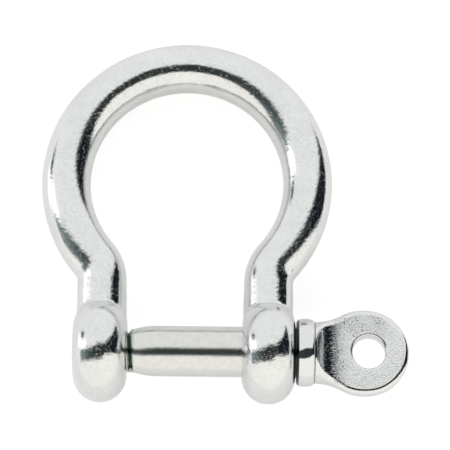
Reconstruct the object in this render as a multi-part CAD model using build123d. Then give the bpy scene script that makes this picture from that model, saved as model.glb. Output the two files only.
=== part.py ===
from build123d import *
import math
import os

# A forged stainless bow shackle with a screw pin. Millimetres.
# X runs along the pin towards its eye, Y from the pin to the crown, and Z out of the bow's plane.
# The origin is on the pin's axis, midway between the two ears.

# Bow: a round bar bent into three quarters of a circle, with a straight leg into each ear.
BAR_RADIUS = 4.0
CROWN_RADIUS = 19.7
CROWN_Y = 28.05
LEG_X = 13.4
BEND_RADIUS = 5.6
TRIM_DEPTH = 0.1
TRIM_FADE_Y = 10.0
TRIM_END_Y = 6.5
CROWN_TRIM_RADIUS = 15.7
CROWN_TRIM_SHIFT = 0.26

# Ears: two round bosses, whose rims are nearly half-round.
EAR_INNER_X = 9.25
EAR_THICKNESS = 8.5
EAR_RADIUS = 8.33
EAR_FACE_RADIUS = 4.7
LEG_FILLET = 0.8
PIN_HOLE_RADIUS = 4.2
PIN_HOLE_MOUTH_RADIUS = 4.4

# Thread: 7 mm by 1 mm, right-handed, with 60 degree flanks.
PITCH = 1.0
FLANK_WIDENING = 2 * math.tan(math.radians(30))
THREAD_CREST_RADIUS = 3.48
THREAD_ROOT_RADIUS = 2.87
THREAD_ROOT_WIDTH = 0.14
TAPPED_MINOR_RADIUS = 2.95
TAPPED_MAJOR_RADIUS = 3.56
TAPPED_ROOT_WIDTH = 0.179
CUTTER_OVERSHOOT = 0.05
THREAD_START_X = -18.22
PIN_GROOVE_TURNS = 9.72
TAPPED_TURNS = 11

# Pin: threaded end, tapered lead, shank, collar and eye, forged as one piece.
PIN_TIP_X = -17.4
PIN_TIP_CHAMFER = 0.7
THREAD_END_X = -8.1
SHANK_FULL_X = -4.2
SHANK_RADIUS = 4.05
COLLAR_X = 17.9
COLLAR_LENGTH = 2.95
COLLAR_RADIUS = 5.45
COLLAR_EDGE_RADIUS = 5.15
COLLAR_EDGE_ROUNDING = 0.6
NECK_RADIUS = 4.93
NECK_FLARE_RADIUS = 9.0
SWEEP_RADIUS = 5.7
SWEEP_ANGLE = 69.0
SWEEP_END_X = 26.3
EYE_X = 28.6
EYE_RADIUS = 6.95
EYE_STRETCH = 0.5
EYE_THICKNESS = 2.7
EYE_HOLE_X = 29.57
EYE_HOLE_RADIUS = 2.625
EYE_HOLE_ROUNDING = 0.45
EYE_EDGE_ROUNDING = 0.9

# Two lengths nearer than this count as equal when edges are picked out.
FLAT_TOLERANCE = 0.001


def bow_route(inset):
    """The bar's centreline, or a line beside it that lies further in, from the right ear to the left."""
    bend_x = LEG_X + BEND_RADIUS
    centres_apart = CROWN_RADIUS + BEND_RADIUS
    bend_y = CROWN_Y - math.sqrt(centres_apart**2 - bend_x**2)
    bend_angle = math.degrees(math.acos(bend_x / centres_apart))
    leg_x = LEG_X - inset
    right_leg = Line((leg_x, TRIM_FADE_Y), (leg_x, bend_y))
    right_bend = JernArc(right_leg @ 1, right_leg % 1, BEND_RADIUS + inset, -bend_angle)
    crown = JernArc(right_bend @ 1, right_bend % 1, CROWN_RADIUS - inset, 180 + 2 * bend_angle)
    left_bend = JernArc(crown @ 1, crown % 1, BEND_RADIUS + inset, -bend_angle)
    left_leg = Line(left_bend @ 1, (-leg_x, TRIM_FADE_Y))
    return [right_leg, right_bend, crown, left_bend, left_leg]


def bow_bar():
    """The bent round bar, with its legs run on to the pin's axis."""
    route = bow_route(0)
    right_foot = Line((LEG_X, 0), route[0] @ 0)
    left_foot = Line(route[-1] @ 1, (-LEG_X, 0))
    section = Plane(right_foot @ 0, z_dir=right_foot % 0) * Circle(BAR_RADIUS)
    return sweep(section, path=Wire([right_foot, *route, left_foot]))


def flash_trim():
    """What the forging's trim took off the inner side: a narrow flat, wider at the crown."""
    route = bow_route(BAR_RADIUS - TRIM_DEPTH)
    fade_x = LEG_X - BAR_RADIUS - TRIM_DEPTH
    across = Polyline(
        route[-1] @ 1, (-fade_x, TRIM_END_Y), (fade_x, TRIM_END_Y), route[0] @ 0
    )
    narrow = extrude(make_face([*route, across]), 2 * BAR_RADIUS, both=True)
    wide = Pos(0, CROWN_Y + CROWN_TRIM_SHIFT, 0) * Cylinder(CROWN_TRIM_RADIUS, 4 * BAR_RADIUS)
    return narrow + wide


def turned(outline):
    """A solid of revolution about the X axis, from an outline that closes against it."""
    return revolve(make_face(outline), Axis.X, 360)


def ear(side):
    """A boss with flat faces and one round arc for its rim, whose seam is away from the leg."""
    near_x = side * EAR_INNER_X
    far_x = side * (EAR_INNER_X + EAR_THICKNESS)
    middle_x = (near_x + far_x) / 2
    rim = ThreePointArc((near_x, -EAR_FACE_RADIUS), (middle_x, -EAR_RADIUS), (far_x, -EAR_FACE_RADIUS))
    sides = Polyline((far_x, -EAR_FACE_RADIUS), (far_x, 0), (near_x, 0), (near_x, -EAR_FACE_RADIUS))
    return turned([rim, sides])


def bow_blank():
    """The forging before its holes are made: bar and ears, with a small fillet where they meet."""
    blank = bow_bar() + ear(1) + ear(-1)
    joins = blank.edges().filter_by(GeomType.BSPLINE)
    return fillet(joins, LEG_FILLET) - flash_trim()


def helical_groove(start_x, turns, root_radius, root_width, mouth_radius):
    """A right-handed V groove about the X axis, to be cut. Its flanks stand at 60 degrees."""
    path = Helix(PITCH, turns * PITCH, root_radius)
    at_start = Plane(path @ 0, x_dir=(1, 0, 0), z_dir=path % 0)
    depth = mouth_radius - root_radius
    mouth_width = root_width + FLANK_WIDENING * abs(depth)
    outline = Polyline(
        (0, -root_width / 2),
        (depth, -mouth_width / 2),
        (depth, mouth_width / 2),
        (0, root_width / 2),
        close=True,
    )
    groove = sweep(at_start * make_face(outline), path=path, is_frenet=True)
    return Pos(start_x, 0, 0) * Rot(0, 90, 0) * groove


def bore_cutter(start_x, length, radius, mouth_radius):
    """A cutter for a hole along the X axis, with a 45 degree countersink at each end."""
    sink = mouth_radius - radius
    end_x = start_x + length
    return turned(
        Polyline(
            (start_x - PITCH, 0),
            (start_x - PITCH, mouth_radius),
            (start_x, mouth_radius),
            (start_x + sink, radius),
            (end_x - sink, radius),
            (end_x, mouth_radius),
            (end_x + PITCH, mouth_radius),
            (end_x + PITCH, 0),
            close=True,
        )
    )


def tap():
    """The tool that cuts the tapped hole's thread: its core and one long helical ridge."""
    core_radius = TAPPED_MINOR_RADIUS
    core = along_x(THREAD_START_X - 2 * PITCH, (TAPPED_TURNS + 2) * PITCH, core_radius)
    ridge = helical_groove(
        THREAD_START_X - PITCH / 2,
        TAPPED_TURNS,
        TAPPED_MAJOR_RADIUS,
        TAPPED_ROOT_WIDTH,
        core_radius - CUTTER_OVERSHOOT,
    )
    return core + ridge


def bow():
    """One forging: bar, ears, a plain hole in the +X ear and a tapped one in the other."""
    plain_hole = bore_cutter(EAR_INNER_X, EAR_THICKNESS, PIN_HOLE_RADIUS, PIN_HOLE_MOUTH_RADIUS)
    drill_radius = TAPPED_MINOR_RADIUS - CUTTER_OVERSHOOT
    drill_x = -EAR_INNER_X - EAR_THICKNESS
    drilled_hole = bore_cutter(drill_x, EAR_THICKNESS, drill_radius, TAPPED_MAJOR_RADIUS)
    return bow_blank() - plain_hole - drilled_hole - tap()


def is_rim(edge, radius):
    return abs(edge.radius - radius) < FLAT_TOLERANCE


def along_x(start_x, length, radius):
    """A cylinder about the X axis, from start_x towards +X."""
    upright = Cylinder(radius, length, align=(Align.CENTER, Align.CENTER, Align.MIN))
    return Pos(start_x, 0, 0) * Rot(0, 90, 0) * upright


def pin_thread():
    """The pin's threaded end: a plain rod with the groove cut in it, then chamfered at its tip."""
    rod = along_x(PIN_TIP_X, THREAD_END_X - PIN_TIP_X, THREAD_CREST_RADIUS)
    groove = helical_groove(
        THREAD_START_X,
        PIN_GROOVE_TURNS,
        THREAD_ROOT_RADIUS,
        THREAD_ROOT_WIDTH,
        THREAD_CREST_RADIUS + CUTTER_OVERSHOOT,
    )
    tip_radius = THREAD_CREST_RADIUS - PIN_TIP_CHAMFER
    envelope = turned(
        Polyline(
            (PIN_TIP_X, 0),
            (PIN_TIP_X, tip_radius),
            (PIN_TIP_X + 2 * PIN_TIP_CHAMFER, tip_radius + 2 * PIN_TIP_CHAMFER),
            (THREAD_END_X, tip_radius + 2 * PIN_TIP_CHAMFER),
            (THREAD_END_X, 0),
            close=True,
        )
    )
    return (rod - groove) & envelope


def pin_shank():
    """The plain shank, with the convex lead that narrows to the thread's size."""
    lead = TangentArc(
        (SHANK_FULL_X, SHANK_RADIUS), (THREAD_END_X, THREAD_CREST_RADIUS), tangent=(-1, 0)
    )
    rest = Polyline(
        (THREAD_END_X, THREAD_CREST_RADIUS),
        (THREAD_END_X, 0),
        (COLLAR_X, 0),
        (COLLAR_X, SHANK_RADIUS),
        (SHANK_FULL_X, SHANK_RADIUS),
    )
    return turned([lead, rest])


def collar():
    """The crowned shoulder that seats against the ear."""
    end_x = COLLAR_X + COLLAR_LENGTH
    crown = ThreePointArc(
        (COLLAR_X, COLLAR_EDGE_RADIUS),
        (COLLAR_X + COLLAR_LENGTH / 2, COLLAR_RADIUS),
        (end_x, COLLAR_EDGE_RADIUS),
    )
    ends = Polyline((end_x, COLLAR_EDGE_RADIUS), (end_x, 0), (COLLAR_X, 0), (COLLAR_X, COLLAR_EDGE_RADIUS))
    blank = turned([crown, ends])
    return fillet(blank.edges().filter_by(GeomType.CIRCLE), COLLAR_EDGE_ROUNDING)


def eye_blank():
    """The round blank of neck and eye, before it is pressed flat."""
    start_x = COLLAR_X + COLLAR_LENGTH - COLLAR_EDGE_ROUNDING
    flare_y = NECK_RADIUS + NECK_FLARE_RADIUS
    centres_apart = EYE_RADIUS + NECK_FLARE_RADIUS
    flare_x = EYE_X - math.sqrt(centres_apart**2 - flare_y**2)
    share = EYE_RADIUS / centres_apart
    meeting = (EYE_X + share * (flare_x - EYE_X), share * flare_y)
    neck = Line((start_x, NECK_RADIUS), (flare_x, NECK_RADIUS))
    flare = TangentArc(neck @ 1, meeting, tangent=(1, 0))
    near_arc = TangentArc(meeting, (EYE_X, EYE_RADIUS), tangent=flare % 1)
    stretch = Line((EYE_X, EYE_RADIUS), (EYE_X + EYE_STRETCH, EYE_RADIUS))
    far_arc = TangentArc(stretch @ 1, (EYE_X + EYE_STRETCH + EYE_RADIUS, 0), tangent=stretch % 1)
    back = Polyline(far_arc @ 1, (start_x, 0), (start_x, NECK_RADIUS))
    return turned([neck, flare, near_arc, stretch, far_arc, back])


def press_space():
    """The space between the press dies: a flat gap, and a concave sweep out of it through the neck."""
    plate_z = EYE_THICKNESS / 2
    end_x = EYE_X + 2 * EYE_RADIUS
    sweep_centre = (SWEEP_END_X, plate_z + SWEEP_RADIUS)
    hollow = CenterArc(sweep_centre, SWEEP_RADIUS, 270 - SWEEP_ANGLE, SWEEP_ANGLE)
    sweep_start = hollow @ 0
    back = Polyline((COLLAR_X, 0), (COLLAR_X, sweep_start.Y), sweep_start)
    plate = Polyline(hollow @ 1, (end_x, plate_z), (end_x, 0), (COLLAR_X, 0))
    upper = Plane.XZ * make_face([back, hollow, plate])
    above = extrude(upper, 2 * EYE_RADIUS, both=True)
    return above + mirror(above, Plane.XY)


def along_plate(edge):
    """Whether an edge runs along the pressed outline, and not across it or round the neck."""
    box = edge.bounding_box()
    runs_on = box.size.X > FLAT_TOLERANCE
    return runs_on and max(abs(box.min.Z), abs(box.max.Z)) > EYE_THICKNESS / 2 - FLAT_TOLERANCE


def eye():
    """Neck and eye, pressed flat, with rounded edges inside and out."""
    pressed = eye_blank() & press_space()
    outline = [edge for edge in pressed.edges() if along_plate(edge)]
    pressed = fillet(outline, EYE_EDGE_ROUNDING)
    bored = pressed - Pos(EYE_HOLE_X, 0, 0) * Cylinder(EYE_HOLE_RADIUS, 2 * EYE_THICKNESS)
    rims = [edge for edge in bored.edges().filter_by(GeomType.CIRCLE) if is_rim(edge, EYE_HOLE_RADIUS)]
    return fillet(rims, EYE_HOLE_ROUNDING)


def pin_head():
    return collar() + eye()


def write(name, shape):
    shape.label = name
    export_step(shape, f"parts/{name}.step")


os.makedirs("parts", exist_ok=True)
write("bow", bow())
write("pin_shank", pin_shank())
write("pin_thread", pin_thread())
write("pin_head", pin_head())
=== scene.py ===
import bpy
import math
from mathutils import Matrix, Vector


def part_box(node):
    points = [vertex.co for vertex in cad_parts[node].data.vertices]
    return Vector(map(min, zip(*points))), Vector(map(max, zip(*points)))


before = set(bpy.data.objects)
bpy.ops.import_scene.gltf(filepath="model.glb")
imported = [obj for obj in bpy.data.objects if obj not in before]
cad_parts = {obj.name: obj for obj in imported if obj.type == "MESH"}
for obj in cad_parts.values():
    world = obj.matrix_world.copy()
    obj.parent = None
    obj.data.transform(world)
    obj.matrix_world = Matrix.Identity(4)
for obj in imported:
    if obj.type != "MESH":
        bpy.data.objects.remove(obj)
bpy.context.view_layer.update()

# The scene is in metres. MM turns the shackle's small lengths, in millimetres, into them.
MM = 0.001

# The CAD model's box, and the places on it that the scene needs.
TIP_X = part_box("pin_thread")[0].x
THREAD_END_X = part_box("pin_thread")[1].x
COLLAR_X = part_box("pin_head")[0].x
EAR_RADIUS = -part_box("bow")[0].y

# The camera looks down on the shackle as it lies flat, tilted away from its plane by CAMERA_TILT.
CAMERA_TILT = math.radians(15.2)
CAMERA_ROLL = math.radians(0.69)
CAMERA_DISTANCE = 376.6 * MM
CAMERA_RIGHT = 6.53 * MM
CAMERA_UP = 20.26 * MM
CAMERA_LENS = 187.9
CAMERA_SENSOR = 36
CAMERA_CLIP = (0.01, 10)

RIGHT = Vector((1, 0, 0))
UP = Vector((0, math.cos(CAMERA_TILT), math.sin(CAMERA_TILT)))
BACK = Vector((0, -math.sin(CAMERA_TILT), math.cos(CAMERA_TILT)))

# The floor touches the ears and the back of the crown, so it leans a little.
FLOOR_LEAN = math.radians(5.1)
FLOOR_RADIUS = 0.12
FLOOR_SIDES = 64

# The floor is a lit table: part of its light comes through it, and that keeps the shadows soft.
# What the camera sees of it is brighter than what it gives back to the steel.
FLOOR_PAPER = (0.80, 0.80, 0.80, 1)
FLOOR_GLOW = (0.21, 0.21, 0.21, 1)
FLOOR_PAPER_SEEN = (0.45, 0.45, 0.45, 1)
FLOOR_GLOW_SEEN = (0.74, 0.74, 0.74, 1)

# The studio, as directions seen from the shackle: an angle in degrees round UP, from BACK towards
# RIGHT, and a height along UP from -1 to 1. A pair is where something fades from none to whole, or
# from whole to none. The dark gap between the two soft boxes is what the steel shows as black bands.
GAP_TOP = (
    (-80, 0.04),
    (-60, 0.08),
    (-26, 0.19),
    (0, 0.34),
    (28, 0.32),
    (50, 0.42),
    (98, 0.60),
)
GAP_FOOT = (
    (-80, -0.28),
    (-60, -0.30),
    (-26, -0.29),
    (0, -0.28),
    (20, -0.20),
    (30, -0.08),
    (99, -0.06),
)
GAP_START = (-87, -77)
GAP_END = (99, 105)
GAP_EDGE = 0.03
GAP_TINTS = (
    (-80, (0.26, 0.31, 0.32)),
    (-48, (0.10, 0.125, 0.13)),
    (-24, (0.045, 0.055, 0.055)),
    (0, (0.032, 0.040, 0.038)),
    (34, (0.032, 0.039, 0.038)),
    (50, (0.010, 0.013, 0.018)),
)
UPPER_LIGHT = (0.93, 0.94, 0.935, 1)
LOWER_LIGHT = (1.05, 1.03, 0.99, 1)
LIGHTS_MEET = (-0.3, 0.3)

# A brighter lamp at the far left, and a small black flag beyond it.
LAMP = (1.5, 1.5, 1.5, 1)
LAMP_END = (-62, -50)
LAMP_FOOT = (0.0, 0.12)
LAMP_TOP = (0.25, 0.42)
FLAG = (0.05, 0.06, 0.06, 1)
FLAG_START = (-92, -86)
FLAG_END = (-78, -70)
FLAG_FOOT = (0.32, 0.36)
FLAG_TOP = (0.46, 0.54)

# The world's strength for light that falls on matt surfaces, which here means the floor, and the
# plain white that the camera sees past the floor.
FILL_LIGHT = 1.3
BACKDROP = (1, 1, 1, 1)


class Nodes:
    """A node tree, with short calls for the nodes that the materials and the world are made of."""

    def __init__(self, tree):
        self.tree = tree

    def add(self, kind, **settings):
        node = self.tree.nodes.new(kind)
        for name, value in settings.items():
            setattr(node, name, value)
        return node

    def link(self, value, socket):
        """Joins an output to the socket, or sets the socket to a plain number or colour."""
        if isinstance(value, bpy.types.NodeSocket):
            self.tree.links.new(value, socket)
        else:
            socket.default_value = value

    def math(self, operation, *values):
        node = self.add("ShaderNodeMath", operation=operation)
        for socket, value in zip(node.inputs, values):
            self.link(value, socket)
        return node.outputs[0]

    def plus(self, first, second):
        return self.math("ADD", first, second)

    def minus(self, first, second):
        return self.math("SUBTRACT", first, second)

    def times(self, first, second):
        return self.math("MULTIPLY", first, second)

    def larger(self, first, second):
        return self.math("MAXIMUM", first, second)

    def inverse(self, share):
        return self.minus(1, share)

    def average(self, first, second):
        return self.times(self.plus(first, second), 0.5)

    def hypotenuse(self, first, second):
        squares = self.plus(self.math("POWER", first, 2), self.math("POWER", second, 2))
        return self.math("SQRT", squares)

    def dot(self, vector, direction):
        node = self.add("ShaderNodeVectorMath", operation="DOT_PRODUCT")
        self.link(vector, node.inputs[0])
        node.inputs[1].default_value = direction
        return node.outputs["Value"]

    def stretched(self, vector, factors):
        node = self.add("ShaderNodeVectorMath", operation="MULTIPLY")
        self.link(vector, node.inputs[0])
        node.inputs[1].default_value = factors
        return node.outputs[0]

    def split(self, vector):
        """The x, y and z of a vector."""
        node = self.add("ShaderNodeSeparateXYZ")
        self.link(vector, node.inputs[0])
        return node.outputs

    def step(self, value, low, high):
        """0 below low and 1 above high, with a smooth rise between them."""
        node = self.add("ShaderNodeMapRange", interpolation_type="SMOOTHSTEP")
        self.link(value, node.inputs["Value"])
        node.inputs["From Min"].default_value = low
        node.inputs["From Max"].default_value = high
        return node.outputs["Result"]

    def fall(self, value, low, high):
        """1 below low and 0 above high."""
        return self.inverse(self.step(value, low, high))

    def window(self, value, start, end):
        """1 between two pairs of numbers. It rises over the first pair and falls over the second."""
        return self.times(self.step(value, *start), self.fall(value, *end))

    def rescale(self, value, low, high, new_low, new_high):
        node = self.add("ShaderNodeMapRange")
        self.link(value, node.inputs["Value"])
        for socket, number in zip(node.inputs[1:5], (low, high, new_low, new_high)):
            socket.default_value = number
        return node.outputs["Result"]

    def mix(self, share, first, second):
        node = self.add("ShaderNodeMix", data_type="RGBA")
        self.link(share, node.inputs["Factor"])
        self.link(first, node.inputs[6])
        self.link(second, node.inputs[7])
        return node.outputs[2]

    def noise(self, vector, scale, detail, roughness):
        node = self.add("ShaderNodeTexNoise")
        self.link(vector, node.inputs["Vector"])
        node.inputs["Scale"].default_value = scale
        node.inputs["Detail"].default_value = detail
        node.inputs["Roughness"].default_value = roughness
        return node.outputs["Fac"]

    def ramp(self, value, stops):
        """A colour for each value, straight between the stops, which are (value, colour)."""
        node = self.add("ShaderNodeValToRGB")
        self.link(value, node.inputs["Fac"])
        elements = node.color_ramp.elements
        while len(elements) < len(stops):
            elements.new(1)
        for element, (position, colour) in zip(elements, stops):
            element.position = position
            element.color = (*colour, 1)
        return node.outputs["Color"]


def add_camera():
    data = bpy.data.cameras.new("camera")
    data.lens = CAMERA_LENS
    data.sensor_width = CAMERA_SENSOR
    data.clip_start, data.clip_end = CAMERA_CLIP
    camera = bpy.data.objects.new("camera", data)
    bpy.context.scene.collection.objects.link(camera)
    place = RIGHT * CAMERA_RIGHT + UP * CAMERA_UP + BACK * CAMERA_DISTANCE
    turn = Matrix((RIGHT, UP, BACK)).transposed().to_4x4()
    roll = Matrix.Rotation(CAMERA_ROLL, 4, BACK)
    camera.matrix_world = roll @ Matrix.Translation(place) @ turn
    bpy.context.scene.camera = camera


def angle_share(angle):
    """An angle from -180 to 180 degrees, as a share from 0 to 1."""
    return (angle + 180) / 360


def height_share(height):
    """A height from -1 to 1, as a share from 0 to 1."""
    return height / 2 + 0.5


def height_line(nodes, share, points):
    """The height at each angle's share, straight between points of an angle and a height."""
    node = nodes.add("ShaderNodeFloatCurve")
    nodes.link(share, node.inputs["Value"])
    node.mapping.use_clip = False
    line = node.mapping.curves[0]
    line.points[0].location = (0, height_share(points[0][1]))
    line.points[1].location = (1, height_share(points[-1][1]))
    for angle, height in points:
        line.points.new(angle_share(angle), height_share(height))
    for point in line.points:
        point.handle_type = "VECTOR"
    node.mapping.update()
    return nodes.rescale(node.outputs["Value"], 0, 1, -1, 1)


def in_gap(nodes, angle, share, height):
    """1 in the dark gap between the soft boxes, and 0 outside it."""
    under_top = nodes.minus(height_line(nodes, share, GAP_TOP), height)
    over_foot = nodes.minus(height, height_line(nodes, share, GAP_FOOT))
    between = nodes.times(
        nodes.step(under_top, -GAP_EDGE, GAP_EDGE),
        nodes.step(over_foot, -GAP_EDGE, GAP_EDGE),
    )
    return nodes.times(between, nodes.window(angle, GAP_START, GAP_END))


def soft_light(nodes, angle, height):
    """The two soft boxes, with the lamp and the flag at the left."""
    light = nodes.mix(nodes.step(height, *LIGHTS_MEET), LOWER_LIGHT, UPPER_LIGHT)
    in_lamp = nodes.times(nodes.fall(angle, *LAMP_END), nodes.window(height, LAMP_FOOT, LAMP_TOP))
    light = nodes.mix(in_lamp, light, LAMP)
    in_flag = nodes.times(
        nodes.window(angle, FLAG_START, FLAG_END),
        nodes.window(height, FLAG_FOOT, FLAG_TOP),
    )
    return nodes.mix(in_flag, light, FLAG)


def add_world():
    world = bpy.data.worlds.new("studio")
    bpy.context.scene.world = world
    world.use_nodes = True
    nodes = Nodes(world.node_tree)
    background = world.node_tree.nodes["Background"]
    direction = nodes.add("ShaderNodeTexCoord").outputs["Generated"]
    height = nodes.dot(direction, UP)
    turn = nodes.math("ARCTAN2", nodes.dot(direction, RIGHT), nodes.dot(direction, BACK))
    angle = nodes.math("DEGREES", turn)
    share = nodes.rescale(angle, -180, 180, 0, 1)
    gap = nodes.ramp(share, [(angle_share(place), tint) for place, tint in GAP_TINTS])
    light = soft_light(nodes, angle, height)
    studio = nodes.mix(in_gap(nodes, angle, share, height), light, gap)
    path = nodes.add("ShaderNodeLightPath")
    shown = nodes.mix(path.outputs["Is Camera Ray"], studio, BACKDROP)
    strength = nodes.rescale(path.outputs["Is Diffuse Ray"], 0, 1, 1, FILL_LIGHT)
    nodes.link(shown, background.inputs["Color"])
    nodes.link(strength, background.inputs["Strength"])


def floor_material():
    material = bpy.data.materials.new("pale_floor")
    material.use_nodes = True
    nodes = Nodes(material.node_tree)
    material.node_tree.nodes.clear()
    out = nodes.add("ShaderNodeOutputMaterial")
    seen = nodes.add("ShaderNodeLightPath").outputs["Is Camera Ray"]
    paper = nodes.add("ShaderNodeBsdfDiffuse")
    nodes.link(nodes.mix(seen, FLOOR_PAPER, FLOOR_PAPER_SEEN), paper.inputs["Color"])
    glow = nodes.add("ShaderNodeEmission")
    nodes.link(nodes.mix(seen, FLOOR_GLOW, FLOOR_GLOW_SEEN), glow.inputs["Color"])
    both = nodes.add("ShaderNodeAddShader")
    nodes.link(paper.outputs[0], both.inputs[0])
    nodes.link(glow.outputs[0], both.inputs[1])
    nodes.link(both.outputs[0], out.inputs["Surface"])
    return material


def add_floor():
    """A pale disc under the shackle, touching its ears and its crown."""
    bpy.ops.mesh.primitive_circle_add(vertices=FLOOR_SIDES, radius=FLOOR_RADIUS, fill_type="NGON")
    floor = bpy.context.object
    floor.name = "floor"
    floor.rotation_euler = (FLOOR_LEAN, 0, 0)
    floor.location = (0, 0, -EAR_RADIUS / math.cos(FLOOR_LEAN))
    floor.data.materials.append(floor_material())


# A noise is a scale in bumps a metre, a detail and a roughness. A skin is a darkest and a lightest
# colour. A pair is where something fades from none to whole, or from whole to none.
STEEL = (0.80, 0.81, 0.80, 1)
STEEL_ROUGHNESS = 0.07
POLISHED_SKIN = ((0.76, 0.77, 0.765, 1), (0.825, 0.835, 0.825, 1))
SKIN_SPREAD = (0.35, 0.65)
PEEL = (420, 2, 0.5)
PITS = (4600, 1, 0.5)
FORGED_BUMP = 0.03 * MM


def mm(low, high):
    """A pair of places or lengths, in millimetres."""
    return low * MM, high * MM


def around(place, low, high):
    """A pair of places, in millimetres from another place."""
    return place + low * MM, place + high * MM


def steel(name, colour, roughness):
    """A new metal, with its nodes, its shader and the place on the object."""
    material = bpy.data.materials.new(name)
    material.use_nodes = True
    nodes = Nodes(material.node_tree)
    shader = material.node_tree.nodes["Principled BSDF"]
    shader.inputs["Metallic"].default_value = 1
    shader.inputs["Roughness"].default_value = roughness
    shader.inputs["Base Color"].default_value = colour
    place = nodes.add("ShaderNodeTexCoord").outputs["Object"]
    return material, nodes, shader, place


def bump(nodes, shader, height, depth):
    """Raises the surface by height times depth, which is in metres."""
    node = nodes.add("ShaderNodeBump")
    node.inputs["Distance"].default_value = depth
    nodes.link(height, node.inputs["Height"])
    nodes.link(node.outputs[0], shader.inputs["Normal"])


# The bow.
FORGED_GRAIN = (1900, 3, 0.65)
FORGED_GRAIN_HEIGHT = 0.9
FORGED_PIT_EDGE = (0.63, 0.76)
FORGED_PIT_DEPTH = 0.36
TARNISH = (260, 2, 0.5)


def polished_steel():
    """Near-mirror forged steel, with the faint orange peel that polishing leaves, and fine pits."""
    material, nodes, shader, place = steel("polished_steel", STEEL, STEEL_ROUGHNESS)
    grain = nodes.noise(place, *FORGED_GRAIN)
    pits = nodes.step(nodes.noise(place, *PITS), *FORGED_PIT_EDGE)
    height = nodes.plus(nodes.noise(place, *PEEL), nodes.times(grain, FORGED_GRAIN_HEIGHT))
    height = nodes.minus(height, nodes.times(pits, FORGED_PIT_DEPTH))
    bump(nodes, shader, height, FORGED_BUMP)
    tarnish = nodes.average(grain, nodes.noise(place, *TARNISH))
    skin = nodes.mix(nodes.step(tarnish, *SKIN_SPREAD), *POLISHED_SKIN)
    nodes.link(skin, shader.inputs["Base Color"])
    return material


# The shank and the thread.
TURNED = (0.74, 0.74, 0.72, 1)
TURNED_ROUGHNESS = 0.16
TURNED_SKIN = ((0.68, 0.68, 0.65, 1), (0.82, 0.82, 0.80, 1))
TURNED_GRAIN = (2600, 2, 0.7)
TURNED_MOTTLE = (1200, 3, 0.6)
TURNED_RINGS = (900, 3, 0.6)
RINGS_STRETCH = (6, 1, 1)
TIP_CIRCLES_SCALE = 5200
TURNED_BUMP = 0.02 * MM
THREAD_FLANK = (0.50, 0.55, 0.50, 1)
# Painted shade: near black for the thread's roots and for the shank just short of the collar.
ROOT_AND_GAP_SHADE = (0.05, 0.07, 0.06, 1)
THREAD_ROOT_RADIUS = mm(2.9, 3.02)
SHANK_START_X = around(THREAD_END_X, -0.15, 0.2)
TIP_END_X = around(TIP_X, 0.5, 0.7)
COLLAR_SHADE_X = around(COLLAR_X, -0.4, -0.2)


def tip_circles(nodes, radius):
    """The fine circles that the tool left as it faced the pin's tip."""
    node = nodes.add("ShaderNodeTexNoise", noise_dimensions="1D")
    nodes.link(radius, node.inputs["W"])
    node.inputs["Scale"].default_value = TIP_CIRCLES_SCALE
    return node.outputs["Fac"]


def satin_steel():
    """Turned steel left satin, with fine rings round the pin, painted shade in the thread's roots and
    painted shade on the shank just short of the collar.
    """
    material, nodes, shader, place = steel("satin_steel", TURNED, TURNED_ROUGHNESS)
    x, y, z = nodes.split(place)
    radius = nodes.hypotenuse(y, z)
    on_shank = nodes.step(x, *SHANK_START_X)
    at_tip = nodes.fall(x, *TIP_END_X)
    rings = nodes.noise(nodes.stretched(place, RINGS_STRETCH), *TURNED_RINGS)
    height = nodes.plus(nodes.noise(place, *TURNED_GRAIN), rings)
    height = nodes.plus(height, nodes.times(at_tip, tip_circles(nodes, radius)))
    bump(nodes, shader, height, TURNED_BUMP)
    bright = nodes.mix(nodes.noise(place, *TURNED_MOTTLE), *TURNED_SKIN)
    bright = nodes.mix(nodes.larger(on_shank, at_tip), THREAD_FLANK, bright)
    # Painted shade: the thread's roots, and the shank just short of the collar, are coloured near black.
    out_of_root = nodes.step(radius, *THREAD_ROOT_RADIUS)
    unshaded = nodes.larger(nodes.larger(out_of_root, at_tip), on_shank)
    unshaded = nodes.times(unshaded, nodes.fall(x, *COLLAR_SHADE_X))
    nodes.link(nodes.mix(unshaded, ROOT_AND_GAP_SHADE, bright), shader.inputs["Base Color"])
    return material


# The head. The press dies left a concave sweep, an arc, between its neck and its flat eye.
EYE_HALF_THICKNESS = 1.35 * MM
SWEEP_RADIUS = 5.7 * MM
SWEEP_CENTRE_X = 26.3 * MM
SWEEP_CENTRE_Z = EYE_HALF_THICKNESS + SWEEP_RADIUS
OFF_SWEEP = mm(0.02, 0.06)
STREAKS = (4200, 2, 0.6)
STREAKS_STRETCH = (0.25, 1, 0.25)
STREAK_HEIGHT = 1.9
STREAK_EDGE = (0.46, 0.62)
STREAK_ROUGHNESS = 0.12

# The satin starts raggedly, part of the way down the sweep, and covers the eye's flat faces.
SATIN_START_X = mm(23.8, 24.6)
SATIN_RAGGEDNESS = 3.0 * MM
SATIN_DEPTH = around(EYE_HALF_THICKNESS, -0.004, -0.0005)
SATIN_ROUGHNESS = 0.15
PRESSED_SKIN = ((0.78, 0.79, 0.78, 1), (0.99, 0.995, 0.99, 1))
PRESSED_GRAIN = (3200, 3, 0.75)
POLISHED_GRAIN_HEIGHT = 0.2
SATIN_GRAIN_HEIGHT = 1.2

# The flat faces are worn next to the sweep and at their upper left, and pitted most where worn.
WORN = (0.45, 0.46, 0.455, 1)
WORN_SHARE = 0.25
WORN_SWEEP_X = mm(24.2, 27.5)
WORN_CORNER_X = mm(31, 34)
WORN_CORNER_Y = mm(0.5, 4.5)
PIT = (0.10, 0.12, 0.11, 1)
PIT_SHARE = 0.7
PIT_LEVEL = 0.70
PIT_LEVEL_WORN = 0.55
PIT_EDGE = (0, 0.05)
PIT_PATCHES = (0.34, 0.47)
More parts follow.
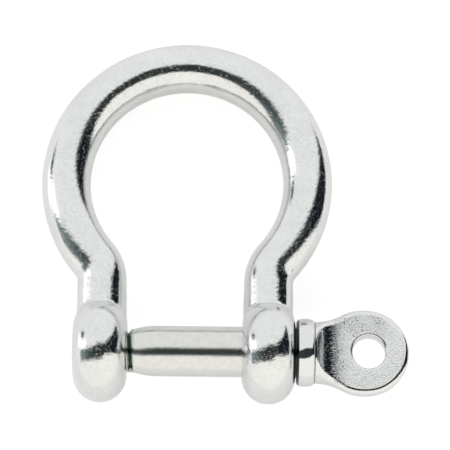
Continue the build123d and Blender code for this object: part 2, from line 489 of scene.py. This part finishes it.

# Painted shade: the collar's edge at the ear and the crease at the neck are coloured near black, and a
# dark bluish strip on the sweep beside the neck is a painted reflection.
PAINTED_SHADE = (0.05, 0.06, 0.06, 1)
# Painted reflection: a dark bluish strip on the sweep beside the neck.
STRIP_SHADE = (0.36, 0.39, 0.42, 1)
STRIP_SHADE_END_X = mm(21.55, 21.8)
EDGE_SHADE_END_X = around(COLLAR_X, 0.3, 0.5)
COLLAR_FACE_RADIUS = mm(4.66, 4.78)
CREASE_X = COLLAR_X + 2.94 * MM
CREASE_HALF_WIDTH = mm(0.03, 0.12)
# How strongly the painted shade darkens the crease.
CREASE_SHADE_SHARE = 0.8


def on_sweep(nodes, x, depth):
    """1 on the concave arc between the neck and the eye, and 0 elsewhere on the head."""
    across = nodes.minus(x, SWEEP_CENTRE_X)
    above = nodes.minus(depth, SWEEP_CENTRE_Z)
    from_arc = nodes.minus(nodes.hypotenuse(across, above), SWEEP_RADIUS)
    return nodes.fall(from_arc, *OFF_SWEEP)


def plate_skin(nodes, place, grain, peel):
    """The colour of the eye's flat faces."""
    x, y, _ = nodes.split(place)
    in_corner = nodes.times(nodes.step(y, *WORN_CORNER_Y), nodes.fall(x, *WORN_CORNER_X))
    worn = nodes.larger(in_corner, nodes.fall(x, *WORN_SWEEP_X))
    level = nodes.minus(PIT_LEVEL, nodes.times(worn, PIT_LEVEL - PIT_LEVEL_WORN))
    over_level = nodes.minus(nodes.noise(place, *PITS), level)
    pitted = nodes.times(nodes.step(over_level, *PIT_EDGE), nodes.step(peel, *PIT_PATCHES))
    skin = nodes.mix(grain, *PRESSED_SKIN)
    skin = nodes.mix(nodes.times(worn, WORN_SHARE), skin, WORN)
    return nodes.mix(nodes.times(pitted, PIT_SHARE), skin, PIT)


def with_painted_shade(nodes, place, sweep, skin):
    """The head's colour, with painted shade at the collar's edge and in the crease, and a painted dark
    reflection on the sweep beside the neck.
    """
    x, y, z = nodes.split(place)
    # Painted reflection: the sweep beside the neck is coloured a dark bluish grey.
    in_strip_shade = nodes.times(sweep, nodes.fall(x, *STRIP_SHADE_END_X))
    skin = nodes.mix(in_strip_shade, skin, STRIP_SHADE)
    # Painted shade: the collar's edge at the ear is coloured near black.
    past_edge = nodes.step(x, *EDGE_SHADE_END_X)
    on_face = nodes.fall(nodes.hypotenuse(y, z), *COLLAR_FACE_RADIUS)
    skin = nodes.mix(nodes.larger(past_edge, on_face), PAINTED_SHADE, skin)
    # Painted shade: a dark line in the crease at the neck.
    from_crease = nodes.math("ABSOLUTE", nodes.minus(x, CREASE_X))
    in_crease_shade = nodes.fall(from_crease, *CREASE_HALF_WIDTH)
    return nodes.mix(nodes.times(in_crease_shade, CREASE_SHADE_SHARE), skin, PAINTED_SHADE)


def pressed_steel():
    """The pin's head: a polished collar and rim, a streaked sweep, and a satin eye with fine pits."""
    material, nodes, shader, place = steel("pressed_steel", STEEL, STEEL_ROUGHNESS)
    x, _, z = nodes.split(place)
    depth = nodes.math("ABSOLUTE", z)
    grain = nodes.noise(place, *PRESSED_GRAIN)
    peel = nodes.noise(place, *PEEL)
    ragged_x = nodes.plus(x, nodes.times(nodes.minus(grain, 0.5), SATIN_RAGGEDNESS))
    past_start = nodes.step(ragged_x, *SATIN_START_X)
    satin = nodes.times(past_start, nodes.step(depth, *SATIN_DEPTH))
    sweep = on_sweep(nodes, x, depth)
    streaked = nodes.times(sweep, nodes.inverse(past_start))
    streaks = nodes.noise(nodes.stretched(place, STREAKS_STRETCH), *STREAKS)
    height = nodes.plus(peel, nodes.times(grain, POLISHED_GRAIN_HEIGHT))
    height = nodes.plus(nodes.times(satin, nodes.times(grain, SATIN_GRAIN_HEIGHT)), height)
    height = nodes.plus(height, nodes.times(streaked, nodes.times(streaks, STREAK_HEIGHT)))
    bump(nodes, shader, height, FORGED_BUMP)
    rough_streaks = nodes.times(streaked, nodes.step(streaks, *STREAK_EDGE))
    rougher = nodes.larger(
        nodes.times(satin, SATIN_ROUGHNESS),
        nodes.times(rough_streaks, STREAK_ROUGHNESS),
    )
    nodes.link(nodes.plus(rougher, STEEL_ROUGHNESS), shader.inputs["Roughness"])
    polished = nodes.mix(nodes.step(grain, *SKIN_SPREAD), *POLISHED_SKIN)
    skin = nodes.mix(satin, polished, plate_skin(nodes, place, grain, peel))
    nodes.link(with_painted_shade(nodes, place, sweep, skin), shader.inputs["Base Color"])
    return material


def give(material, *names):
    for name in names:
        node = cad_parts[name]
        node.data.materials.clear()
        node.data.materials.append(material)


add_camera()
add_world()
add_floor()
bpy.context.scene.view_settings.view_transform = "Standard"
give(polished_steel(), "bow")
give(satin_steel(), "pin_shank", "pin_thread")
give(pressed_steel(), "pin_head")
